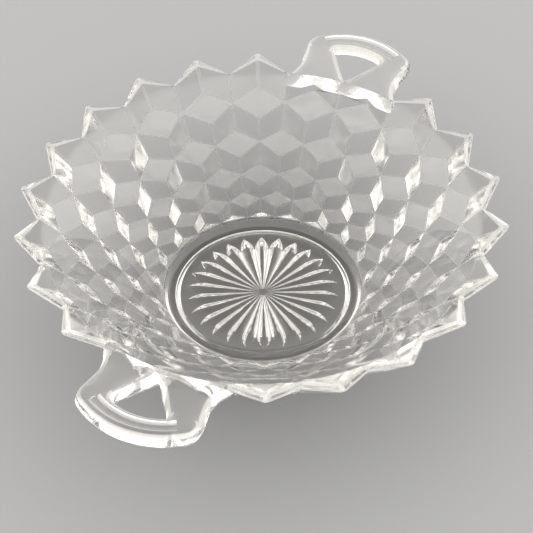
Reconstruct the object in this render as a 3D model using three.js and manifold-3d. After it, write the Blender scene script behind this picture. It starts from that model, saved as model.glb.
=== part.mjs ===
// Two-handled bowl of clear pressed glass: a flared wall with a relief of stepped cubes outside and a
// toothed rim, a flat floor with a star pressed into its underside, a foot ring and two open handles.
// The bowl is a single casting. It is divided into named bodies where its form changes, with a narrow
// kerf between neighbours.
//
// Millimetres, +Z up. The foot stands on z = 0, the bowl's axis is Z and both handles lie on X.

import * as THREE from "three";
import { ConvexGeometry } from "three/addons/geometries/ConvexGeometry.js";
import { mergeVertices } from "three/addons/utils/BufferGeometryUtils.js";
import Module from "manifold-3d";

const wasm = await Module();
wasm.setup();

// Kerf between neighbouring bodies of the casting.
const KERF = 0.3;

// Vertices closer than this are one vertex.
const WELD_DISTANCE = 1e-4;

// Overall size.
const RIM_RADIUS = 108;
const RIM_HEIGHT = 60;

// Wall. Teeth and cubes share one pitch around the bowl, and each row of cubes is smaller than the
// row above it by the same ratio. The wall's mean line is a cubic curve from the last row to the rim.
const PITCHES = 22;
const ROWS = 5;
const ROW_RATIO = 0.85;
const LAST_ROW_RADIUS = RIM_RADIUS * ROW_RATIO ** ROWS;
const LAST_ROW_HEIGHT = 6.5;
const LAST_ROW_SLOPE = 0.45;
const RIM_SLOPE = 0.9;
const WALL_THICKNESS = 5.6;

// Relief. A cube's near corner stands proud of the mean line, a little less in each lower row, and
// a rim valley lies below it.
const RIM_CORNER_HEIGHT = 2.4;
const LAST_CORNER_HEIGHT = 1.9;
const RIM_VALLEY_ROW = 0.38;
const RIM_VALLEY_DEPTH = 2.6;

// Teeth flare outwards above the crease between the valleys and end in a blunt edge.
const TIP_WIDTH = 4.2;
const TIP_FALL = 1;

// Foot ring, floor and the neck between the foot and the last row.
const FOOT_DEPTH = 3;
const FOOT_LAND_INNER = 42.4;
const FOOT_LAND_OUTER = 46.1;
const FOOT_TOP_INNER = 39.5;
const FOOT_TOP_OUTER = 48.9;
const NECK_RADIUS = 47.4;
const NECK_HEIGHT = 5;
const FLOOR_HEIGHT = 7.4;
const FILLET_STEPS = 4;

// Star: lens-shaped flutes pressed up into the underside of the floor.
const RAYS = 26;
const RAY_START = 3;
const RAY_BELLY = 28;
const RAY_TIP = 36.2;
const RAY_FILL = 0.94;
const RAY_SHOULDER_SHARE = 0.72;
const RAY_DEPTH_SHARE = 0.72;
const RAY_CUT_BELOW = 1;
const STAR_TURN = THREE.MathUtils.degToRad(-3);

// Handles. The bar lies between two arcs about one centre, and the window's point faces the bowl.
const HANDLE_ARC_X = 94;
const BAR_OUTER_RADIUS = 39.4;
const BAR_INNER_RADIUS = 27.5;
const BAR_END_ANGLE = THREE.MathUtils.degToRad(37);
const HANDLE_THICKNESS = 7;
const HANDLE_TILT = THREE.MathUtils.degToRad(6);
const HANDLE_BEVEL = 1.5;
const HANDLE_CUT_X = 101.5;
const WINDOW_POINT_X = 101.4;
const WINDOW_ANGLE = THREE.MathUtils.degToRad(26);
const CHANNEL_RADIUS = 33.4;
const CHANNEL_WIDTH = 5.6;
const CHANNEL_DEPTH = 1.5;
const CHANNEL_ANGLE = THREE.MathUtils.degToRad(33);
// A handle's side, as points (x, y) from the corner of its bar to the rim beside it.
const HANDLE_CORNER = [123.4, 27.4];
const HANDLE_SIDE = [116, 26.9];
const HANDLE_WAIST = [108, 25.4];
const HANDLE_WAIST_PULL = [101, 24.8];
const HANDLE_RIM_END = [96, 28.4];
const HANDLE_ROOT = [88, 31];
const ARC_STEPS = 12;

const COLUMNS = 2 * PITCHES;
const THIRDS = 3 * ROWS;

const glass = () =>
  new THREE.MeshStandardMaterial({
    color: 0xf2f2ec,
    roughness: 0.03,
    metalness: 0,
    transparent: true,
    opacity: 0.4,
  });

// ---------------------------------------------------------------- solids

function toManifold(geometry) {
  const bare = geometry.clone();
  bare.deleteAttribute("normal");
  bare.deleteAttribute("uv");
  const merged = mergeVertices(bare, WELD_DISTANCE);
  return new wasm.Manifold(
    new wasm.Mesh({
      numProp: 3,
      vertProperties: new Float32Array(merged.attributes.position.array),
      triVerts: new Uint32Array(merged.index.array),
    }),
  );
}

function toGeometry(solid) {
  const mesh = solid.getMesh();
  const geometry = new THREE.BufferGeometry();
  geometry.setAttribute("position", new THREE.BufferAttribute(mesh.vertProperties, 3));
  geometry.setIndex(new THREE.BufferAttribute(mesh.triVerts, 1));
  return geometry;
}

// A LatheGeometry turns about Y. This stands it up, so that its outline is (radius, height) about Z.
function turned(outline, segments = COLUMNS) {
  return new THREE.LatheGeometry(outline, segments).rotateX(Math.PI / 2);
}

function block(low, high) {
  const size = new THREE.Vector3().subVectors(high, low);
  const centre = new THREE.Vector3().addVectors(low, high).multiplyScalar(0.5);
  return new THREE.BoxGeometry(size.x, size.y, size.z).translate(centre.x, centre.y, centre.z);
}

// ---------------------------------------------------------------- wall

const columnAngle = (column) => (column * Math.PI) / PITCHES;

const rowRadius = (row) => RIM_RADIUS * ROW_RATIO ** row;

const wallRun = RIM_RADIUS - LAST_ROW_RADIUS;

const wallLine = new THREE.CubicBezierCurve(
  new THREE.Vector2(LAST_ROW_RADIUS, LAST_ROW_HEIGHT),
  new THREE.Vector2(LAST_ROW_RADIUS + wallRun / 3, LAST_ROW_HEIGHT + (LAST_ROW_SLOPE * wallRun) / 3),
  new THREE.Vector2(RIM_RADIUS - wallRun / 3, RIM_HEIGHT - (RIM_SLOPE * wallRun) / 3),
  new THREE.Vector2(RIM_RADIUS, RIM_HEIGHT),
);

// A point of the wall's section at a row, moved outwards from the mean line by an offset.
function wallSection(row, offset) {
  const share = (rowRadius(row) - LAST_ROW_RADIUS) / wallRun;
  const along = wallLine.getTangent(share);
  return wallLine.getPoint(share).addScaledVector(new THREE.Vector2(along.y, -along.x), offset);
}

function aroundBowl(section, column) {
  const angle = columnAngle(column);
  return new THREE.Vector3(section.x * Math.cos(angle), section.x * Math.sin(angle), section.y);
}

// Each handle stands where two teeth would be, on both sides of a valley.
const isHandleTooth = (column) => [1, COLUMNS / 2 - 1].includes(Math.min(column, COLUMNS - column));

const cornerHeight = (row) =>
  THREE.MathUtils.lerp(RIM_CORNER_HEIGHT, LAST_CORNER_HEIGHT, row / ROWS);

// Rows are counted in thirds. A column with a tooth repeats level point, cube corner and pit at every
// second third, and its neighbours are three thirds lower. A pit closes a flat rhombus under a corner.
function reliefPoint(third, column) {
  const phase = (third + (column % 2 === 0 ? 3 : 0)) % 6;
  if (third === 1 || (third === 0 && isHandleTooth(column))) {
    return aroundBowl(wallSection(RIM_VALLEY_ROW, -RIM_VALLEY_DEPTH), column);
  }
  if (phase === 0) return aroundBowl(wallSection(third / 3, 0), column);
  if (phase === 2) return aroundBowl(wallSection(third / 3, cornerHeight(third / 3)), column);
  const corner = reliefPoint(third - 2, column);
  const sides = [column - 1, column + 1].map((side) => reliefPoint(third - 1, side));
  return sides[0].add(sides[1]).sub(corner);
}

const creaseSection = wallSection(RIM_VALLEY_ROW, -WALL_THICKNESS);

const tipSection = new THREE.Vector2(RIM_RADIUS - TIP_WIDTH, RIM_HEIGHT - TIP_FALL);

function wallGeometry() {
  const points = [];
  const faces = [];
  const add = (point) => points.push(point) - 1;
  const wrap = (column) => (column + COLUMNS) % COLUMNS;
  const triangle = (a, b, c) => {
    if (a !== b && b !== c && c !== a) faces.push(a, b, c);
  };
  const quad = (a, b, c, d) => {
    triangle(a, b, c);
    triangle(a, c, d);
  };

  const relief = new Map();
  const at = (third, column) => {
    const key = third * COLUMNS + wrap(column);
    if (!relief.has(key)) relief.set(key, add(reliefPoint(third, wrap(column))));
    return relief.get(key);
  };

  for (let row = 0; row < ROWS; row++) {
    for (let column = 0; column < COLUMNS; column++) {
      if ((row + column) % 2 === 0) continue;
      const third = 3 * row;
      const corner = at(third + 2, column);
      const left = at(third + 3, column - 1);
      const right = at(third + 3, column + 1);
      quad(at(third, column), at(third + 1, column - 1), left, corner);
      quad(at(third, column), corner, right, at(third + 1, column + 1));
      if (row < ROWS - 1) quad(corner, left, at(third + 4, column), right);
    }
  }

  // The last row's corners meet a ring of points at the neck.
  const lastRing = [];
  for (let column = 0; column < COLUMNS; column++) {
    if (column % 2 === 0) {
      lastRing.push(at(THIRDS, column));
    } else {
      const sides = [column - 1, column + 1].map((side) => reliefPoint(THIRDS, wrap(side)));
      lastRing.push(add(sides[0].add(sides[1]).multiplyScalar(0.5)));
    }
  }
  for (let column = 1; column < COLUMNS; column += 2) {
    const corner = at(THIRDS - 1, column);
    triangle(corner, lastRing[column - 1], lastRing[column]);
    triangle(corner, lastRing[column], lastRing[wrap(column + 1)]);
  }

  const ring = (section) =>
    Array.from({ length: COLUMNS }, (_, column) => add(aroundBowl(section, column)));
  const strip = (upper, lower) => {
    for (let column = 0; column < COLUMNS; column++) {
      const next = wrap(column + 1);
      quad(upper[column], lower[column], lower[next], upper[next]);
    }
  };

  const outerRim = Array.from({ length: COLUMNS }, (_, column) => at(1 - (column % 2), column));
  const crease = ring(creaseSection);
  const innerRim = crease.map((point, column) =>
    column % 2 === 0 || isHandleTooth(column) ? point : add(aroundBowl(tipSection, column)),
  );
  const innerFoot = wallSection(ROWS, -WALL_THICKNESS);
  const bottom = FOOT_DEPTH + KERF / 2;
  const rings = [
    lastRing,
    ring(new THREE.Vector2(NECK_RADIUS, NECK_HEIGHT)),
    ring(new THREE.Vector2(FOOT_TOP_OUTER, bottom)),
    ring(new THREE.Vector2(innerFoot.x, bottom)),
  ];
  for (let row = ROWS; row > 0; row--) rings.push(ring(wallSection(row, -WALL_THICKNESS)));
  rings.push(crease, innerRim, outerRim);
  for (let i = 0; i < rings.length - 1; i++) strip(rings[i], rings[i + 1]);

  const geometry = new THREE.BufferGeometry().setFromPoints(points);
  return geometry.setIndex(faces);
}

// The space inside the bowl, carried on past the crease.
function hollowGeometry() {
  const rows = Array.from({ length: ROWS }, (_, row) => ROWS - row);
  const inside = rows.map((row) => wallSection(row, -WALL_THICKNESS));
  const beyond = new THREE.Vector2().subVectors(creaseSection, inside.at(-1)).add(creaseSection);
  const low = new THREE.Vector2(0, inside[0].y);
  const high = new THREE.Vector2(0, beyond.y);
  return turned([low, ...inside, creaseSection, beyond, high]);
}

// ---------------------------------------------------------------- handle

function handleOutline() {
  const shape = new THREE.Shape();
  const barEnd = [
    HANDLE_ARC_X + BAR_OUTER_RADIUS * Math.cos(BAR_END_ANGLE),
    BAR_OUTER_RADIUS * Math.sin(BAR_END_ANGLE),
  ];
  const mirrored = ([x, y]) => [x, -y];
  shape.moveTo(...mirrored(HANDLE_ROOT));
  shape.lineTo(...mirrored(HANDLE_RIM_END));
  shape.quadraticCurveTo(...mirrored(HANDLE_WAIST_PULL), ...mirrored(HANDLE_WAIST));
  shape.lineTo(...mirrored(HANDLE_SIDE));
  shape.quadraticCurveTo(...mirrored(HANDLE_CORNER), ...mirrored(barEnd));
  shape.absarc(HANDLE_ARC_X, 0, BAR_OUTER_RADIUS, -BAR_END_ANGLE, BAR_END_ANGLE);
  shape.quadraticCurveTo(...HANDLE_CORNER, ...HANDLE_SIDE);
  shape.lineTo(...HANDLE_WAIST);
  shape.quadraticCurveTo(...HANDLE_WAIST_PULL, ...HANDLE_RIM_END);
  shape.lineTo(...HANDLE_ROOT);
  const window = new THREE.Path();
  window.moveTo(WINDOW_POINT_X, 0);
  window.absarc(HANDLE_ARC_X, 0, BAR_INNER_RADIUS, -WINDOW_ANGLE, WINDOW_ANGLE);
  window.lineTo(WINDOW_POINT_X, 0);
  shape.holes.push(window);
  return shape;
}

// Part of a ring about the handle's arc centre, as the tool that presses the channel.
function channelTool() {
  const shape = new THREE.Shape();
  shape.absarc(HANDLE_ARC_X, 0, CHANNEL_RADIUS + CHANNEL_WIDTH / 2, -CHANNEL_ANGLE, CHANNEL_ANGLE);
  shape.absarc(HANDLE_ARC_X, 0, CHANNEL_RADIUS - CHANNEL_WIDTH / 2, CHANNEL_ANGLE, -CHANNEL_ANGLE, true);
  return new THREE.ExtrudeGeometry(shape, {
    depth: HANDLE_THICKNESS,
    bevelEnabled: false,
    curveSegments: ARC_STEPS,
  }).translate(0, 0, HANDLE_THICKNESS - CHANNEL_DEPTH);
}

// The handle is a slab with drafted edges, which rises outwards from the crease at the rim.
function handleSolid() {
  const slab = new THREE.ExtrudeGeometry(handleOutline(), {
    depth: HANDLE_THICKNESS - 2 * HANDLE_BEVEL,
    bevelThickness: HANDLE_BEVEL,
    bevelSize: HANDLE_BEVEL,
    bevelOffset: -HANDLE_BEVEL,
    bevelSegments: 1,
    curveSegments: ARC_STEPS,
  }).translate(0, 0, HANDLE_BEVEL);
  const seat = new THREE.Matrix4()
    .makeTranslation(creaseSection.x, 0, creaseSection.y)
    .multiply(new THREE.Matrix4().makeRotationY(-HANDLE_TILT))
    .multiply(new THREE.Matrix4().makeTranslation(-creaseSection.x, 0, -HANDLE_THICKNESS));
  return toManifold(slab.applyMatrix4(seat)).subtract(toManifold(channelTool().applyMatrix4(seat)));
}

// ---------------------------------------------------------------- foot and floor

function footRingGeometry() {
  const top = FOOT_DEPTH - KERF / 2;
  return turned([
    new THREE.Vector2(FOOT_LAND_INNER, 0),
    new THREE.Vector2(FOOT_LAND_OUTER, 0),
    new THREE.Vector2(FOOT_TOP_OUTER, top),
    new THREE.Vector2(FOOT_TOP_INNER, top),
    new THREE.Vector2(FOOT_LAND_INNER, 0),
  ]);
}

function rayTool() {
  const halfWidth = (radius) => (RAY_FILL * Math.PI * radius) / RAYS;
  const belly = halfWidth(RAY_BELLY);
  const shoulder = (RAY_BELLY + RAY_TIP) / 2;
  const outline = [
    [RAY_START, 0],
    [RAY_BELLY, belly],
    [RAY_BELLY, -belly],
    [shoulder, RAY_SHOULDER_SHARE * belly],
    [shoulder, -RAY_SHOULDER_SHARE * belly],
    [RAY_TIP, 0],
  ];
  const underside = FOOT_DEPTH + KERF / 2;
  const points = outline.map(([x, y]) => new THREE.Vector3(x, y, underside));
  points.push(...outline.map(([x, y]) => new THREE.Vector3(x, y, underside - RAY_CUT_BELOW)));
  points.push(new THREE.Vector3(RAY_BELLY, 0, underside + RAY_DEPTH_SHARE * belly));
  return new ConvexGeometry(points);
}

function floorSolid() {
  const join = wallSection(ROWS, -WALL_THICKNESS);
  const run = (2 * (join.y - FLOOR_HEIGHT)) / LAST_ROW_SLOPE;
  const edge = join.x - KERF;
  const fillet = new THREE.QuadraticBezierCurve(
    new THREE.Vector2(join.x - run, FLOOR_HEIGHT),
    new THREE.Vector2(join.x - run / 2, FLOOR_HEIGHT),
    new THREE.Vector2(edge, join.y - KERF * LAST_ROW_SLOPE),
  );
  const underside = FOOT_DEPTH + KERF / 2;
  const disc = turned([
    new THREE.Vector2(0, underside),
    new THREE.Vector2(edge, underside),
    ...fillet.getPoints(FILLET_STEPS).reverse(),
    new THREE.Vector2(0, FLOOR_HEIGHT),
  ]);
  let solid = toManifold(disc);
  for (let ray = 0; ray < RAYS; ray++) {
    const tool = rayTool().rotateZ(STAR_TURN + (2 * Math.PI * ray) / RAYS);
    solid = solid.subtract(toManifold(tool));
  }
  return solid;
}

// ---------------------------------------------------------------- casting

function castingSolids() {
  const wall = toManifold(wallGeometry());
  const rightHandle = handleSolid();
  const leftHandle = toManifold(toGeometry(rightHandle).rotateZ(Math.PI));
  const whole = wall.add(rightHandle).add(leftHandle).subtract(toManifold(hollowGeometry()));
  const reach = 2 * RIM_RADIUS;
  const slice = (lowX, highX) =>
    whole.intersect(
      toManifold(block(new THREE.Vector3(lowX, -reach, -reach), new THREE.Vector3(highX, reach, reach))),
    );
  const cut = HANDLE_CUT_X;
  return {
    wall: slice(-cut + KERF / 2, cut - KERF / 2),
    right: slice(cut + KERF / 2, reach),
    left: slice(-reach, -cut - KERF / 2),
  };
}

function named(name, geometry) {
  const mesh = new THREE.Mesh(geometry, glass());
  mesh.name = name;
  return mesh;
}

const casting = castingSolids();
const bowl = new THREE.Group();
bowl.name = "two_handled_bowl";
bowl.add(
  named("bowl_wall", toGeometry(casting.wall)),
  named("handle_right", toGeometry(casting.right)),
  named("handle_left", toGeometry(casting.left)),
  named("floor_disc", toGeometry(floorSolid())),
  named("foot_ring", footRingGeometry()),
);

export default bowl;
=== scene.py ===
import math

import bmesh
import bpy
from mathutils import Matrix, Vector
from mathutils.geometry import tessellate_polygon


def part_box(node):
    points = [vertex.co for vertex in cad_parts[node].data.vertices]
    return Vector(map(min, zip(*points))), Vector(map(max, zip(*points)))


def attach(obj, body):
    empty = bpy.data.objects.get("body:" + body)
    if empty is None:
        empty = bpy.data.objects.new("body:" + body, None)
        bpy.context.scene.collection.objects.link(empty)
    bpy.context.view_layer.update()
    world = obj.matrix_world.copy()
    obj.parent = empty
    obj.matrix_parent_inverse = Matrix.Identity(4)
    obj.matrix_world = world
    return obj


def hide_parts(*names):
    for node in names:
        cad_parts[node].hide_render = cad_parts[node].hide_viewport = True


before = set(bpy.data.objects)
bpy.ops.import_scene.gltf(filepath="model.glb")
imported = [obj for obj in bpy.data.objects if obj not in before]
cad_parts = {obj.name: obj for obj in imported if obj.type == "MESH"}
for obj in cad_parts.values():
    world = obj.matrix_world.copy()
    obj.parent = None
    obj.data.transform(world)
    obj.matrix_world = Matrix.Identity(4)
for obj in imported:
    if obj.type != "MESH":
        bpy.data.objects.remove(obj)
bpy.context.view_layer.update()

# Two-handled bowl of clear pressed glass, in five pieces that meet without a visible seam. Shapes are drawn
# in millimetres, as outlines of (radius, height) about the Z axis, and become objects in metres.

MM = 0.001

wall_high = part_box("bowl_wall")[1]
foot_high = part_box("foot_ring")[1]
handle_low, handle_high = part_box("handle_right")
KERF = 0.3

# Wall. Its mean line is a cubic curve from the last row of cubes up to the rim. Teeth and cubes share one
# pitch around the bowl, and each row is smaller than the row above it by the same ratio.
RIM_RADIUS = wall_high.y / MM
RIM_HEIGHT = wall_high.z / MM
PITCHES = 22
COLUMNS = 2 * PITCHES
ROWS = 5
ROW_RATIO = 0.85
LAST_ROW_RADIUS = RIM_RADIUS * ROW_RATIO**ROWS
LAST_ROW_HEIGHT = 6.5
LAST_ROW_SLOPE = 0.45
RIM_SLOPE = 0.9
WALL_THICKNESS = 5.6

# Relief. Rows are counted down from the rim. The teeth reach above row 0, because rounding trims them.
RIM_CORNER_HEIGHT = 2.4
LAST_CORNER_HEIGHT = 1.9
RIM_VALLEY_ROW = 0.38
RIM_VALLEY_DEPTH = 2.6
TOOTH_ROW = -0.09
TIP_WIDTH = 4.2
TIP_FALL = 1.0
RIM_ROUND = 1.7
RELIEF_ROUND = 0.7
BEVEL_SEGMENTS = 4
LEAST_ROUNDED_ANGLE = math.radians(3)

# Foot ring, neck and floor. The foot's two flanks slant, and mirror the light as two bright rings.
FOOT_DEPTH = foot_high.z / MM + KERF / 2
FOOT_LAND_INNER = 42.4
FOOT_LAND_OUTER = 46.1
FOOT_TOP_INNER = 39.5
FOOT_TOP_OUTER = 48.9
FOOT_ROUND = 0.8
NECK_RADIUS = 47.4
NECK_HEIGHT = 5
FLOOR_HEIGHT = 7.4

# Star. A flute widens up to its belly and narrows to its tip. Its section is a power curve, sampled at places
# from one edge to the other in shares of its half width.
RAYS = 26
RAY_START = 1.5
RAY_BELLY = 28
RAY_TIP = 36.2
RAY_FILL = 0.98
RAY_DEPTH_SHARE = 0.72
RAY_ROUNDNESS = 1.35
RAY_STEPS = 14
RAY_PLACES = (-1, -0.9, -0.75, -0.5, -0.25, 0, 0.25, 0.5, 0.75, 0.9, 1)
STAR_TURN = math.radians(-3)

# Handles. The bar lies between two arcs about one centre, and the window's point faces the bowl.
HANDLE_ARC_X = 94
BAR_OUTER_RADIUS = handle_high.x / MM - HANDLE_ARC_X
BAR_INNER_RADIUS = 27.5
BAR_END_ANGLE = math.radians(37)
HANDLE_THICKNESS = 7
HANDLE_TILT = math.radians(6)
HANDLE_CUT_X = handle_low.x / MM - KERF / 2
WINDOW_POINT_X = 101.4
WINDOW_ANGLE = math.radians(26)
WINDOW_BAR_ROUND = 1.6
WINDOW_POINT_ROUND = 1.2
CHANNEL_RADIUS = 33.4
CHANNEL_WIDTH = 5.6
CHANNEL_DEPTH = 1.5
CHANNEL_ANGLE = math.radians(33)
# A handle's side, as points (x, y) from the corner of its bar to its root inside the wall.
HANDLE_CORNER = (123.4, 27.4)
HANDLE_SIDE = (116, 26.9)
HANDLE_WAIST = (108, 25.4)
HANDLE_WAIST_PULL = (101, 24.8)
HANDLE_RIM_END = (96, 28.4)
HANDLE_ROOT = (88, 31)
# A handle's edge as (inset, height), from its underside to its widest level and on to its top. The insets are
# larger along the posts: they grow from 1 to POST_SPREAD times over a length of POST_BLEND behind the bar.
HANDLE_LOWER_EDGE = ((2.4, 0), (1.2, 0.35), (0.45, 1), (0.1, 1.9), (0, 2.8))
HANDLE_UPPER_EDGE = ((0.25, 4), (0.8, 5.1), (1.5, 5.9), (2.3, 6.5), (3.2, 6.85), (4, HANDLE_THICKNESS))
BAR_START_X = 119
POST_BLEND = 4
POST_SPREAD = 1.9
MITRE_LIMIT = 2
LONGEST_ROUND_SHARE = 0.9

# How finely round shapes are divided.
COLUMN_STEPS = 6
TURN_STEPS = COLUMNS * COLUMN_STEPS
ARC_STEPS = 40
CORNER_STEPS = 12
SIDE_STEPS = 3
WAIST_STEPS = 10
WINDOW_ROUND_STEPS = 5
FOOT_ROUND_STEPS = 8
CHANNEL_SIDES = 32

# Limits for telling faces and points apart. Cutting leaves specks, which are merged away.
SPECK = 0.02
WELD_DISTANCE = 1e-4
CUT_NEARNESS = 0.01
ROUND_CUT_NEARNESS = 0.05
FACING = 0.99
UPRIGHT = 0.01

# Which finish a face takes, by the part of its normal that points up or outwards.
RIM_LEAST_UP = -0.1
PRESSED_LEAST_OUT = -0.2
PRESSED_MOST_UP = 0.8
BORDER_LEAST_UP = 0.5
BORDER_MOST_UP = 0.9
SHARP_ANGLE = math.radians(32)
STAR_SHARP_ANGLE = math.radians(8)
FACET_WEIGHT = 80

# Glass. Noise scales are per metre, and ripple heights are in metres.
GLASS_COLOUR = (1, 0.995, 0.985)
GLASS_IOR = 1.51
SHADOW_TINT = (0.87, 0.87, 0.86, 1)
HAZE_SCALE = 60
HAZE_DETAIL = 3
HAZE_RANGE = (0.35, 0.75)
RIPPLE_SCALE = 140
RIPPLE_DETAIL = 1
POLISHED_RIPPLE = 0.00001
PRESSED_RIPPLE = 0.00002

# Floor of the studio.
SHEET_SIZE = 4
SHEET_COLOUR = (0.375, 0.382, 0.398)
SHEET_ROUGHNESS = 0.6
SHEET_GRAIN_SCALE = 400
SHEET_GRAIN_DETAIL = 2
SHEET_GRAIN_HEIGHT = 0.00003

# Camera, in metres.
VIEW_AZIMUTH = math.radians(-65.8)
VIEW_ELEVATION = math.radians(46.7)
VIEW_ROLL = math.radians(-1.015)
VIEW_DISTANCE = 0.6347
VIEW_AIM = Vector((-0.0058, -0.0047, 0.03))
VIEW_LENS = 94.56
VIEW_NEAR = 0.01
VIEW_FAR = 20
SENSOR_WIDTH = 36

# Surroundings. A direction that rises by less than WALL_TOP of its length meets the walls at their brightest.
WALL_COLOUR = (1, 0.975, 0.925, 1)
WALL_TOP = 0.2
WALL_RADIANCE = 2.1
CEILING_RADIANCE = 0.45

# Softboxes, in metres. Their azimuth counts from straight behind the bowl.
SOFTBOX_AZIMUTH = math.radians(115)
SOFTBOX_ELEVATION = math.radians(40)
SOFTBOX_DISTANCE = 1.5
SOFTBOX_SIZE = (1.2, 0.9)
SOFTBOX_RADIANCE = 1.6
SOFTBOX_COLOUR = (1, 0.97, 0.92)


# ---------------------------------------------------------------- materials


def principled(name, colour, roughness):
    material = bpy.data.materials.new(name)
    material.use_nodes = True
    nodes, links = material.node_tree.nodes, material.node_tree.links
    shader = nodes["Principled BSDF"]
    shader.inputs["Base Color"].default_value = (*colour, 1)
    shader.inputs["Roughness"].default_value = roughness
    return material, nodes, links, shader


def noise(nodes, links, scale, detail):
    """The output of a noise that is fixed to the object."""
    place = nodes.new("ShaderNodeTexCoord")
    texture = nodes.new("ShaderNodeTexNoise")
    texture.inputs["Scale"].default_value = scale
    texture.inputs["Detail"].default_value = detail
    links.new(place.outputs["Object"], texture.inputs["Vector"])
    return texture.outputs["Fac"]


def remapped(nodes, links, value, old_range, new_range):
    """The output of a node that turns the old range of a value into a new one."""
    remap = nodes.new("ShaderNodeMapRange")
    remap.inputs["From Min"].default_value, remap.inputs["From Max"].default_value = old_range
    remap.inputs["To Min"].default_value, remap.inputs["To Max"].default_value = new_range
    links.new(value, remap.inputs["Value"])
    return remap.outputs["Result"]


def add_bump(nodes, links, shader, value, height):
    uneven = nodes.new("ShaderNodeBump")
    uneven.inputs["Distance"].default_value = height
    links.new(value, uneven.inputs["Height"])
    links.new(uneven.outputs["Normal"], shader.inputs["Normal"])


def glass_material(name, clearness, roughness_range, ripple_height):
    """Clear, slightly uneven glass. Lamps shine through it, so that its shadow stays light."""
    material, nodes, links, shader = principled(name, GLASS_COLOUR, roughness_range[0])
    shader.inputs["Transmission Weight"].default_value = clearness
    shader.inputs["IOR"].default_value = GLASS_IOR
    haze = noise(nodes, links, HAZE_SCALE, HAZE_DETAIL)
    links.new(remapped(nodes, links, haze, HAZE_RANGE, roughness_range), shader.inputs["Roughness"])
    add_bump(nodes, links, shader, noise(nodes, links, RIPPLE_SCALE, RIPPLE_DETAIL), ripple_height)
    path = nodes.new("ShaderNodeLightPath")
    clear = nodes.new("ShaderNodeBsdfTransparent")
    clear.inputs["Color"].default_value = SHADOW_TINT
    choice = nodes.new("ShaderNodeMixShader")
    links.new(path.outputs["Is Shadow Ray"], choice.inputs[0])
    links.new(shader.outputs[0], choice.inputs[1])
    links.new(clear.outputs[0], choice.inputs[2])
    links.new(choice.outputs[0], nodes["Material Output"].inputs["Surface"])
    return material


def seam_material():
    """A fully clear material for the faces where one piece of the casting goes on into the next."""
    material = bpy.data.materials.new("inside_of_casting")
    material.use_nodes = True
    nodes, links = material.node_tree.nodes, material.node_tree.links
    nodes.remove(nodes["Principled BSDF"])
    clear = nodes.new("ShaderNodeBsdfTransparent")
    links.new(clear.outputs[0], nodes["Material Output"].inputs["Surface"])
    return material


POLISHED, PRESSED, EDGE, RIM, SEAM = range(5)
MATERIALS = [
    glass_material("clear_glass_polished", 1, (0, 0.03), POLISHED_RIPPLE),
    glass_material("clear_glass_pressed", 1, (0.08, 0.14), PRESSED_RIPPLE),
    glass_material("clear_glass_edges", 1, (0.35, 0.5), PRESSED_RIPPLE),
    glass_material("clear_glass_rim", 0.75, (0.25, 0.4), PRESSED_RIPPLE),
    seam_material(),
]


# ---------------------------------------------------------------- solids


def new_object(name, bm):
    """An object of this mesh, with a slot for each finish of the glass."""
    mesh = bpy.data.meshes.new(name)
    bmesh.ops.recalc_face_normals(bm, faces=bm.faces)
    bm.to_mesh(mesh)
    bm.free()
    for material in MATERIALS:
        mesh.materials.append(material)
    piece = bpy.data.objects.new(name, mesh)
    bpy.context.scene.collection.objects.link(piece)
    return piece


def settle(piece):
    """Applies the piece's modifiers."""
    bpy.context.view_layer.update()
    seen = piece.evaluated_get(bpy.context.evaluated_depsgraph_get())
    mesh = bpy.data.meshes.new_from_object(seen)
    piece.modifiers.clear()
    piece.data = mesh


def combine(piece, tool, operation):
    """Joins the tool to the piece or cuts it away, and uses the tool up."""
    modifier = piece.modifiers.new("combine", "BOOLEAN")
    modifier.solver = "MANIFOLD"
    modifier.operation = operation
    modifier.object = tool
    settle(piece)
    bpy.data.objects.remove(tool)
    return piece


def copy_of(piece, name, matrix=None):
    other = piece.copy()
    other.data = piece.data.copy()
    other.name = name
    if matrix is not None:
        other.data.transform(matrix)
    bpy.context.scene.collection.objects.link(other)
    return other


def loft(bm, rings, closed=False):
    """Faces between rings of vertices that all have as many. A ring of one vertex is a point."""
    pairs = list(zip(rings, rings[1:] + rings[:1]))
    for lower, upper in pairs if closed else pairs[:-1]:
        count = max(len(lower), len(upper))
        for i in range(count):
            j = (i + 1) % count
            along_lower = [lower[i % len(lower)], lower[j % len(lower)]]
            back_along_upper = [upper[j % len(upper)], upper[i % len(upper)]]
            face = list(dict.fromkeys(along_lower + back_along_upper))
            if len(face) > 2:
                bm.faces.new(face)


def polar(radius, angle, height):
    return Vector((radius * math.cos(angle), radius * math.sin(angle), height))


def turned(name, outline, closed=False):
    """A solid turned about Z. Its outline of (radius, height) starts and ends on the axis, or closes."""
    bm = bmesh.new()
    rings = []
    for radius, height in outline:
        count = TURN_STEPS if radius > 0 else 1
        rings.append([bm.verts.new(polar(radius, 2 * math.pi * i / count, height)) for i in range(count)])
    loft(bm, rings, closed)
    return new_object(name, bm)


def box_tool(name, low, high):
    bm = bmesh.new()
    bmesh.ops.create_cube(bm, size=1)
    low, high = Vector(low), Vector(high)
    size = high - low
    bm.transform(Matrix.Translation((low + high) / 2) @ Matrix.Diagonal((*size, 1)))
    return new_object(name, bm)


def choose_finishes(mesh, is_seam):
    """Gives each face its finish by its place on the casting and its direction."""
    for face in mesh.polygons:
        outwards = Vector((face.center.x, face.center.y, 0)).normalized()
        if is_seam(face.center, face.normal):
            face.material_index = SEAM
        elif face.material_index == EDGE:
            face.material_index = RIM if face.normal.z > RIM_LEAST_UP else EDGE
        elif face.material_index != RIM:
            pressed = face.normal.dot(outwards) > PRESSED_LEAST_OUT and face.normal.z < PRESSED_MOST_UP
            face.material_index = PRESSED if pressed else POLISHED


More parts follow.
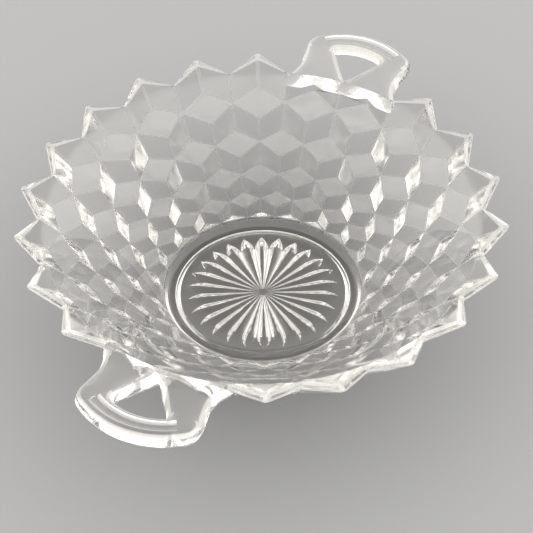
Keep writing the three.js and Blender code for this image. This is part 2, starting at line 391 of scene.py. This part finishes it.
def smooth_facets(mesh, sharp_angle):
    """Merges specks, and shades the glass as smooth between its sharp edges and its seams."""
    bm = bmesh.new()
    bm.from_mesh(mesh)
    bmesh.ops.remove_doubles(bm, verts=bm.verts, dist=SPECK)
    bmesh.ops.delete(bm, geom=[vert for vert in bm.verts if not vert.link_faces], context="VERTS")
    for face in bm.faces:
        face.smooth = face.material_index != SEAM
    for edge in bm.edges:
        at_seam = any(face.material_index == SEAM for face in edge.link_faces)
        edge.smooth = not at_seam and edge.calc_face_angle(0) < sharp_angle
    bm.to_mesh(mesh)
    bm.free()


def finish_glass(piece, name, is_seam, sharp_angle=SHARP_ANGLE):
    """Gives the piece its finishes and smooth shading, and scales it to metres."""
    mesh = piece.data
    choose_finishes(mesh, is_seam)
    smooth_facets(mesh, sharp_angle)
    weighted = piece.modifiers.new("even_facets", "WEIGHTED_NORMAL")
    weighted.keep_sharp = True
    weighted.weight = FACET_WEIGHT
    mesh.transform(Matrix.Scale(MM, 4))
    settle(piece)
    piece.name = piece.data.name = name
    return piece


# ---------------------------------------------------------------- wall


def mix(a, b, share):
    return a + (b - a) * share


def bezier(points, share):
    """The point at a share of the curve that the points pull into shape."""
    while len(points) > 1:
        points = [a.lerp(b, share) for a, b in zip(points, points[1:])]
    return points[0]


WALL_RUN = RIM_RADIUS - LAST_ROW_RADIUS
WALL_LINE = [
    Vector((LAST_ROW_RADIUS, LAST_ROW_HEIGHT)),
    Vector((LAST_ROW_RADIUS + WALL_RUN / 3, LAST_ROW_HEIGHT + LAST_ROW_SLOPE * WALL_RUN / 3)),
    Vector((RIM_RADIUS - WALL_RUN / 3, RIM_HEIGHT - RIM_SLOPE * WALL_RUN / 3)),
    Vector((RIM_RADIUS, RIM_HEIGHT)),
]


def wall_section(row, offset):
    """A point of the wall's section at a row, moved outwards from its mean line."""
    share = (RIM_RADIUS * ROW_RATIO**row - LAST_ROW_RADIUS) / WALL_RUN
    along = bezier([b - a for a, b in zip(WALL_LINE, WALL_LINE[1:])], share).normalized()
    return bezier(WALL_LINE, share) + Vector((along.y, -along.x)) * offset


def around(section, column):
    """The point of a section, turned to a column."""
    return polar(section.x, math.pi * column / PITCHES, section.y)


def is_handle_tooth(column):
    """True in the four columns whose teeth make way for the handles."""
    return min(column, COLUMNS - column) in (1, COLUMNS // 2 - 1)


def relief_point(third, column):
    """A corner of the relief: one on the mean line, a cube's near corner, or a pit. Rows count in thirds."""
    column %= COLUMNS
    phase = (third + (3 if column % 2 == 0 else 0)) % 6
    if third == 1 or (third == 0 and is_handle_tooth(column)):
        return around(wall_section(RIM_VALLEY_ROW, -RIM_VALLEY_DEPTH), column)
    row = third / 3 if third > 0 else TOOTH_ROW
    if phase == 0:
        return around(wall_section(row, 0), column)
    if phase == 2:
        return around(wall_section(row, mix(RIM_CORNER_HEIGHT, LAST_CORNER_HEIGHT, row / ROWS)), column)
    corner = relief_point(third - 2, column)
    return relief_point(third - 1, column - 1) + relief_point(third - 1, column + 1) - corner


CREASE = wall_section(RIM_VALLEY_ROW, -WALL_THICKNESS)
JOIN = wall_section(ROWS, -WALL_THICKNESS)
TIP = wall_section(TOOTH_ROW, 0) - Vector((TIP_WIDTH, TIP_FALL))


def add_cubes(bm, at):
    """The rows of cubes. Each cube shows two faces, and all but the last row's show a third, below them."""
    for row in range(ROWS):
        third = 3 * row
        for column in range(COLUMNS):
            if (row + column) % 2 == 0:
                continue
            corner = at(third + 2, column)
            left, right = at(third + 3, column - 1), at(third + 3, column + 1)
            bm.faces.new((at(third, column), at(third + 1, column - 1), left, corner))
            bm.faces.new((at(third, column), corner, right, at(third + 1, column + 1)))
            if row < ROWS - 1:
                bm.faces.new((corner, left, at(third + 4, column), right))


def add_neck(bm, at):
    """The blank below the cubes, down to the flat circle above the foot. Returns the circle's vertices."""
    neck_point = Vector((NECK_RADIUS, NECK_HEIGHT))
    foot_point = Vector((FOOT_TOP_OUTER, FOOT_DEPTH))
    neck = [bm.verts.new(around(neck_point, column)) for column in range(COLUMNS)]
    foot = [bm.verts.new(around(foot_point, step / COLUMN_STEPS)) for step in range(TURN_STEPS)]
    last = 3 * ROWS
    for column in range(0, COLUMNS, 2):
        low, high = at(last, column), at(last, column + 2)
        corner = at(last - 1, column + 1)
        bm.faces.new((corner, low, high))
        ring = [neck[(column + k) % COLUMNS] for k in range(3)]
        bm.faces.new((low, *ring, high))
    for column in range(COLUMNS):
        ring = [foot[(column * COLUMN_STEPS + k) % TURN_STEPS] for k in range(COLUMN_STEPS + 1)]
        bm.faces.new((neck[(column + 1) % COLUMNS], neck[column], *ring))
    bm.faces.new(foot)
    return foot


def add_rim(bm, at, rounding):
    """The rim's top, from the relief in to the crease, and the flat cap inside. Rounds the teeth's edges."""
    crease = [bm.verts.new(around(CREASE, step / COLUMN_STEPS)) for step in range(TURN_STEPS)]
    outer = [at(1 - column % 2, column) for column in range(COLUMNS)]
    bm.faces.new(crease)
    for column in range(1, COLUMNS, 2):
        first = (column - 1) * COLUMN_STEPS
        inner = [crease[(first + k) % TURN_STEPS] for k in range(2 * COLUMN_STEPS + 1)]
        before, after = outer[column - 1], outer[(column + 1) % COLUMNS]
        if is_handle_tooth(column):
            bm.faces.new((before, *inner[: COLUMN_STEPS + 1], outer[column]))
            bm.faces.new((outer[column], *inner[COLUMN_STEPS:], after))
            continue
        tip = bm.verts.new(around(TIP, column))
        bm.faces.new((tip, *inner))
        bm.faces.new((before, inner[0], tip, outer[column]))
        bm.faces.new((outer[column], tip, inner[-1], after))
        for pair in (
            (inner[0], tip),
            (tip, inner[-1]),
            (tip, outer[column]),
            (before, outer[column]),
            (outer[column], after),
            (before, inner[0]),
        ):
            bm.edges.get(pair)[rounding] = 1


def wall_blank():
    """The wall as a filled solid, with its relief and teeth rounded along their edges."""
    bm = bmesh.new()
    rounding = bm.edges.layers.float.new("bevel_weight_edge")
    points = {}

    def at(third, column):
        key = (third, column % COLUMNS)
        if key not in points:
            points[key] = bm.verts.new(relief_point(*key))
        return points[key]

    add_cubes(bm, at)
    foot = add_neck(bm, at)
    relief_edges = set(bm.edges)
    add_rim(bm, at, rounding)
    bmesh.ops.recalc_face_normals(bm, faces=bm.faces)
    bottom = {edge for vert in foot for edge in vert.link_edges}
    tooth_columns = [column for column in range(1, COLUMNS, 2) if not is_handle_tooth(column)]
    tooth_tips = {points[0, column] for column in tooth_columns}
    for edge in relief_edges - bottom:
        if edge[rounding] == 0 and edge.calc_face_angle(0) > LEAST_ROUNDED_ANGLE:
            edge[rounding] = 1 if tooth_tips & set(edge.verts) else RELIEF_ROUND / RIM_ROUND
    blank = new_object("wall_blank", bm)
    bevel = blank.modifiers.new("round", "BEVEL")
    bevel.limit_method = "WEIGHT"
    bevel.width = RIM_ROUND
    bevel.segments = BEVEL_SEGMENTS
    bevel.material = EDGE
    bevel.use_clamp_overlap = True
    settle(blank)
    return blank


def hollow():
    """The space inside the bowl down to its floor's edge, and the floor's own place."""
    rows = [mix(ROWS, RIM_VALLEY_ROW, step / ARC_STEPS) for step in range(ARC_STEPS + 1)]
    inside = [wall_section(row, -WALL_THICKNESS) for row in rows]
    beyond = CREASE + (CREASE - inside[-2]).normalized() * WALL_THICKNESS
    outline = [(0, -1), (JOIN.x, -1), *inside, beyond, (0, beyond.y)]
    return turned("hollow", outline)


# ---------------------------------------------------------------- handles


def curve(points, steps):
    """Points along a curve from its first point towards its last, without the last."""
    return [bezier([Vector(point) for point in points], k / steps) for k in range(steps)]


def arc(centre_x, radius, start, end, steps):
    angles = [mix(start, end, k / steps) for k in range(steps + 1)]
    return [Vector((centre_x + radius * math.cos(a), radius * math.sin(a))) for a in angles]


def rounded(points, radii, steps):
    """The outline with some corners replaced by curves that start a set distance before them."""
    done = []
    for i, corner in enumerate(points):
        if i not in radii:
            done.append(corner)
            continue
        ends = []
        for other in (points[i - 1], points[(i + 1) % len(points)]):
            side = other - corner
            ends.append(corner + side.normalized() * min(radii[i], side.length * LONGEST_ROUND_SHARE))
        done += curve((ends[0], corner, ends[1]), steps)
        done.append(ends[1])
    return done


def handle_outline():
    bar = arc(HANDLE_ARC_X, BAR_OUTER_RADIUS, 0, BAR_END_ANGLE, ARC_STEPS // 2)
    side_middle = [(a + b) / 2 for a, b in zip(HANDLE_SIDE, HANDLE_WAIST)]
    half = [
        *bar[:-1],
        *curve((bar[-1], HANDLE_CORNER, HANDLE_SIDE), CORNER_STEPS),
        *curve((HANDLE_SIDE, side_middle, HANDLE_WAIST), SIDE_STEPS),
        *curve((HANDLE_WAIST, HANDLE_WAIST_PULL, HANDLE_RIM_END), WAIST_STEPS),
        Vector(HANDLE_RIM_END),
        Vector(HANDLE_ROOT),
    ]
    other_half = [Vector((point.x, -point.y)) for point in reversed(half[1:])]
    return half + other_half


def window_outline():
    bar = arc(HANDLE_ARC_X, BAR_INNER_RADIUS, -WINDOW_ANGLE, WINDOW_ANGLE, ARC_STEPS // 2)
    radii = {0: WINDOW_BAR_ROUND, len(bar) - 1: WINDOW_BAR_ROUND, len(bar): WINDOW_POINT_ROUND}
    return rounded([*bar, Vector((WINDOW_POINT_X, 0))], radii, WINDOW_ROUND_STEPS)


def inset(points, distance):
    """The outline moved to its left by a distance, which is larger along the posts."""
    moved = []
    for before, here, after in zip(points[-1:] + points[:-1], points, points[1:] + points[:1]):
        a, b = (here - before).normalized(), (after - here).normalized()
        along = (a + b).normalized()
        mitre = 1 / max(1 / MITRE_LIMIT, along.dot(a))
        on_post = min(1, max(0, (BAR_START_X - here.x) / POST_BLEND))
        spread = mix(1, POST_SPREAD, on_post)
        moved.append(here + Vector((-along.y, along.x)) * distance * mitre * spread)
    return moved


def handle_solid(name):
    """A handle lying flat: rings around its outside and its window, with flat faces above and below."""
    bm = bmesh.new()
    walls = []
    for outline in (handle_outline(), window_outline()[::-1]):
        rings = []
        for distance, height in HANDLE_LOWER_EDGE + HANDLE_UPPER_EDGE:
            rings.append([bm.verts.new((p.x, p.y, height)) for p in inset(outline, distance)])
        loft(bm, rings)
        walls.append(rings)
    for level in (0, -1):
        loops = [rings[level] for rings in walls]
        verts = [vert for loop in loops for vert in loop]
        for triangle in tessellate_polygon([[vert.co for vert in loop] for loop in loops]):
            bm.faces.new([verts[i] for i in triangle])
    return new_object(name, bm)


def channel_tool():
    """A bent round bar, which presses the channel into a handle's top."""
    half = CHANNEL_WIDTH / 2
    radius = (half**2 + CHANNEL_DEPTH**2) / (2 * CHANNEL_DEPTH)
    middle_height = HANDLE_THICKNESS - CHANNEL_DEPTH + radius
    bm = bmesh.new()
    rings = []
    for k in range(ARC_STEPS + 1):
        angle = mix(-CHANNEL_ANGLE, CHANNEL_ANGLE, k / ARC_STEPS)
        ring = []
        for i in range(CHANNEL_SIDES):
            side = 2 * math.pi * i / CHANNEL_SIDES
            reach = CHANNEL_RADIUS + radius * math.cos(side)
            x, y = HANDLE_ARC_X + reach * math.cos(angle), reach * math.sin(angle)
            ring.append(bm.verts.new((x, y, middle_height + radius * math.sin(side))))
        rings.append(ring)
    loft(bm, rings)
    for ring in (rings[0], rings[-1]):
        bm.faces.new(ring)
    return new_object("channel", bm)


def seated_handle():
    """The handle on +X with its channel, tilted up from the wall's inner edge. Its borders are clouded."""
    handle = combine(handle_solid("handle"), channel_tool(), "DIFFERENCE")
    for face in handle.data.polygons:
        face.material_index = RIM if BORDER_LEAST_UP < face.normal.z < BORDER_MOST_UP else POLISHED
    seat = (
        Matrix.Translation((CREASE.x, 0, CREASE.y))
        @ Matrix.Rotation(-HANDLE_TILT, 4, "Y")
        @ Matrix.Translation((-CREASE.x, 0, -HANDLE_THICKNESS))
    )
    handle.data.transform(seat)
    return handle


# ---------------------------------------------------------------- casting


def is_casting_seam(centre, normal):
    """True on a face where the wall or the foot meets another piece, or a handle meets the wall."""
    radius = math.hypot(centre.x, centre.y)
    at_handle = abs(abs(centre.x) - HANDLE_CUT_X) < CUT_NEARNESS and abs(normal.x) > FACING
    at_foot = abs(centre.z - FOOT_DEPTH) < CUT_NEARNESS and abs(normal.z) > FACING
    beside_floor = abs(radius - JOIN.x) < ROUND_CUT_NEARNESS and centre.z < JOIN.y
    return at_handle or at_foot or (beside_floor and abs(normal.z) < UPRIGHT)


def casting():
    """The right handle, the left handle and the wall, cut from one solid."""
    whole = wall_blank()
    handle = seated_handle()
    other = copy_of(handle, "other_handle", Matrix.Rotation(math.pi, 4, "Z"))
    combine(whole, handle, "UNION")
    combine(whole, other, "UNION")
    combine(whole, hollow(), "DIFFERENCE")
    reach = 2 * RIM_RADIUS
    pieces = []
    for name, low_x, high_x in (
        ("glass_handle_right", HANDLE_CUT_X, reach),
        ("glass_handle_left", -reach, -HANDLE_CUT_X),
        ("glass_bowl_wall", -HANDLE_CUT_X, HANDLE_CUT_X),
    ):
        part = copy_of(whole, name)
        tool = box_tool("slice", (low_x, -reach, -reach), (high_x, reach, reach))
        combine(part, tool, "INTERSECT")
        pieces.append(finish_glass(part, name, is_casting_seam))
    bpy.data.objects.remove(whole)
    return pieces


# ---------------------------------------------------------------- foot and floor


def foot_ring():
    corners = [
        Vector((FOOT_TOP_OUTER, FOOT_DEPTH)),
        Vector((FOOT_TOP_INNER, FOOT_DEPTH)),
        Vector((FOOT_LAND_INNER, 0)),
        Vector((FOOT_LAND_OUTER, 0)),
    ]
    outline = rounded(corners, {2: FOOT_ROUND, 3: FOOT_ROUND}, FOOT_ROUND_STEPS)
    ring = turned("foot", outline, closed=True)
    return finish_glass(ring, "glass_foot_ring", is_casting_seam)


def ray_half_width(radius):
    belly = RAY_FILL * math.pi * RAY_BELLY / RAYS
    if radius < RAY_BELLY:
        return belly * (radius - RAY_START) / (RAY_BELLY - RAY_START)
    return belly * (1 - ((radius - RAY_BELLY) / (RAY_TIP - RAY_BELLY)) ** 2)


def star_ring(bm, radius, plain):
    """A ring of the floor's underside: each ray from edge to edge, then the middle of the land beside it."""
    pitch = 2 * math.pi / RAYS
    half = 0 if plain else ray_half_width(radius)
    edge = pitch / 4 if plain else half / radius
    deepest = RAY_DEPTH_SHARE * half
    section = [(edge * place, deepest * (1 - abs(place) ** RAY_ROUNDNESS)) for place in RAY_PLACES]
    section.append((pitch / 2, 0))
    ring = []
    for ray in range(RAYS):
        turn = STAR_TURN + pitch * ray
        ring += [bm.verts.new(polar(radius, angle + turn, FOOT_DEPTH + depth)) for angle, depth in section]
    return ring


def is_floor_seam(centre, normal):
    """True on a face of the floor that meets the foot or the wall."""
    radius = math.hypot(centre.x, centre.y)
    over_foot = abs(centre.z - FOOT_DEPTH) < CUT_NEARNESS and radius > FOOT_TOP_INNER
    at_wall = abs(radius - JOIN.x) < ROUND_CUT_NEARNESS and abs(normal.z) < UPRIGHT
    return over_foot or at_wall


def floor_disc():
    """The floor, from the star on its underside out to the wall and back over a fillet to its flat top."""
    run = 2 * (JOIN.y - FLOOR_HEIGHT) / LAST_ROW_SLOPE
    fillet = [Vector((JOIN.x - run, FLOOR_HEIGHT)), Vector((JOIN.x - run / 2, FLOOR_HEIGHT)), JOIN]
    fillet_steps = ARC_STEPS // 2
    bm = bmesh.new()
    rings = [[bm.verts.new((0, 0, FOOT_DEPTH))]]
    for step in range(RAY_STEPS + 1):
        rings.append(star_ring(bm, mix(RAY_START, RAY_TIP, step / RAY_STEPS), plain=False))
    rings.append(star_ring(bm, FOOT_TOP_INNER, plain=True))
    rings.append(star_ring(bm, JOIN.x, plain=True))
    for step in range(fillet_steps + 1):
        point = bezier(fillet, 1 - step / fillet_steps)
        ring = star_ring(bm, point.x, plain=True)
        for vert in ring:
            vert.co.z = point.y
        rings.append(ring)
    rings.append([bm.verts.new((0, 0, FLOOR_HEIGHT))])
    loft(bm, rings)
    bmesh.ops.remove_doubles(bm, verts=bm.verts, dist=WELD_DISTANCE)
    return finish_glass(new_object("floor", bm), "glass_floor_disc", is_floor_seam, STAR_SHARP_ANGLE)


# ---------------------------------------------------------------- stage


def floor_material():
    """A plain pale sheet, very slightly uneven."""
    material, nodes, links, shader = principled("pale_floor", SHEET_COLOUR, SHEET_ROUGHNESS)
    grain = noise(nodes, links, SHEET_GRAIN_SCALE, SHEET_GRAIN_DETAIL)
    add_bump(nodes, links, shader, grain, SHEET_GRAIN_HEIGHT)
    return material


def stage_floor():
    bm = bmesh.new()
    bmesh.ops.create_grid(bm, x_segments=1, y_segments=1, size=SHEET_SIZE)
    floor = new_object("floor_of_studio", bm)
    floor.data.materials.clear()
    floor.data.materials.append(floor_material())


def softbox(name, azimuth):
    """A lamp that faces the bowl and isn't seen in the glass. Azimuth grows to the right."""
    light = bpy.data.lights.new(name, "AREA")
    light.shape = "RECTANGLE"
    light.size, light.size_y = SOFTBOX_SIZE
    light.energy = SOFTBOX_RADIANCE * math.pi * light.size * light.size_y
    light.color = SOFTBOX_COLOUR
    lamp = bpy.data.objects.new(name, light)
    flat = SOFTBOX_DISTANCE * math.cos(SOFTBOX_ELEVATION)
    height = SOFTBOX_DISTANCE * math.sin(SOFTBOX_ELEVATION)
    lamp.location = view_side(flat * math.sin(azimuth), flat * math.cos(azimuth), height)
    lamp.visible_glossy = lamp.visible_transmission = False
    lamp.rotation_mode = "QUATERNION"
    lamp.rotation_quaternion = (-lamp.location).to_track_quat("-Z", "Y")
    bpy.context.scene.collection.objects.link(lamp)


def camera():
    data = bpy.data.cameras.new("camera")
    data.lens = VIEW_LENS
    data.sensor_width = SENSOR_WIDTH
    data.clip_start, data.clip_end = VIEW_NEAR, VIEW_FAR
    shot = bpy.data.objects.new("camera", data)
    back = Vector(
        (
            math.sin(VIEW_AZIMUTH) * math.cos(VIEW_ELEVATION),
            -math.cos(VIEW_AZIMUTH) * math.cos(VIEW_ELEVATION),
            math.sin(VIEW_ELEVATION),
        )
    )
    turn = (-back).to_track_quat("-Z", "Y").to_matrix() @ Matrix.Rotation(VIEW_ROLL, 3, "Z")
    shot.matrix_world = Matrix.Translation(VIEW_AIM + back * VIEW_DISTANCE) @ turn.to_4x4()
    bpy.context.scene.collection.objects.link(shot)
    bpy.context.scene.camera = shot


def view_side(right, away, up):
    """A place beside the camera's line of sight: to its right, away from it and up, in metres."""
    ahead = Vector((-math.sin(VIEW_AZIMUTH), math.cos(VIEW_AZIMUTH), 0))
    beside = Vector((ahead.y, -ahead.x, 0))
    return beside * right + ahead * away + Vector((0, 0, up))


def surroundings():
    """Pale walls all round, which grow dimmer towards the ceiling."""
    world = bpy.data.worlds.new("studio")
    world.use_nodes = True
    nodes, links = world.node_tree.nodes, world.node_tree.links
    background = nodes["Background"]
    background.inputs["Color"].default_value = WALL_COLOUR
    direction = nodes.new("ShaderNodeTexCoord")
    parts = nodes.new("ShaderNodeSeparateXYZ")
    links.new(direction.outputs["Generated"], parts.inputs["Vector"])
    radiance = remapped(nodes, links, parts.outputs["Z"], (WALL_TOP, 1), (WALL_RADIANCE, CEILING_RADIANCE))
    links.new(radiance, background.inputs["Strength"])
    bpy.context.scene.world = world


def studio():
    surroundings()
    for name, azimuth in (("softbox_left", -SOFTBOX_AZIMUTH), ("softbox_right", SOFTBOX_AZIMUTH)):
        softbox(name, azimuth)


def picture_settings():
    scene = bpy.context.scene
    scene.cycles.max_bounces = 24
    scene.cycles.transmission_bounces = 24
    scene.cycles.glossy_bounces = 8
    scene.cycles.diffuse_bounces = 3
    scene.cycles.transparent_max_bounces = 48
    scene.cycles.caustics_reflective = False
    scene.cycles.caustics_refractive = False
    scene.view_settings.view_transform = "Standard"


# ---------------------------------------------------------------- the whole

camera()
right, left, wall = casting()
for piece, node in (
    (wall, "bowl_wall"),
    (right, "handle_right"),
    (left, "handle_left"),
    (floor_disc(), "floor_disc"),
    (foot_ring(), "foot_ring"),
):
    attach(piece, "root")
    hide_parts(node)
stage_floor()
studio()
picture_settings()
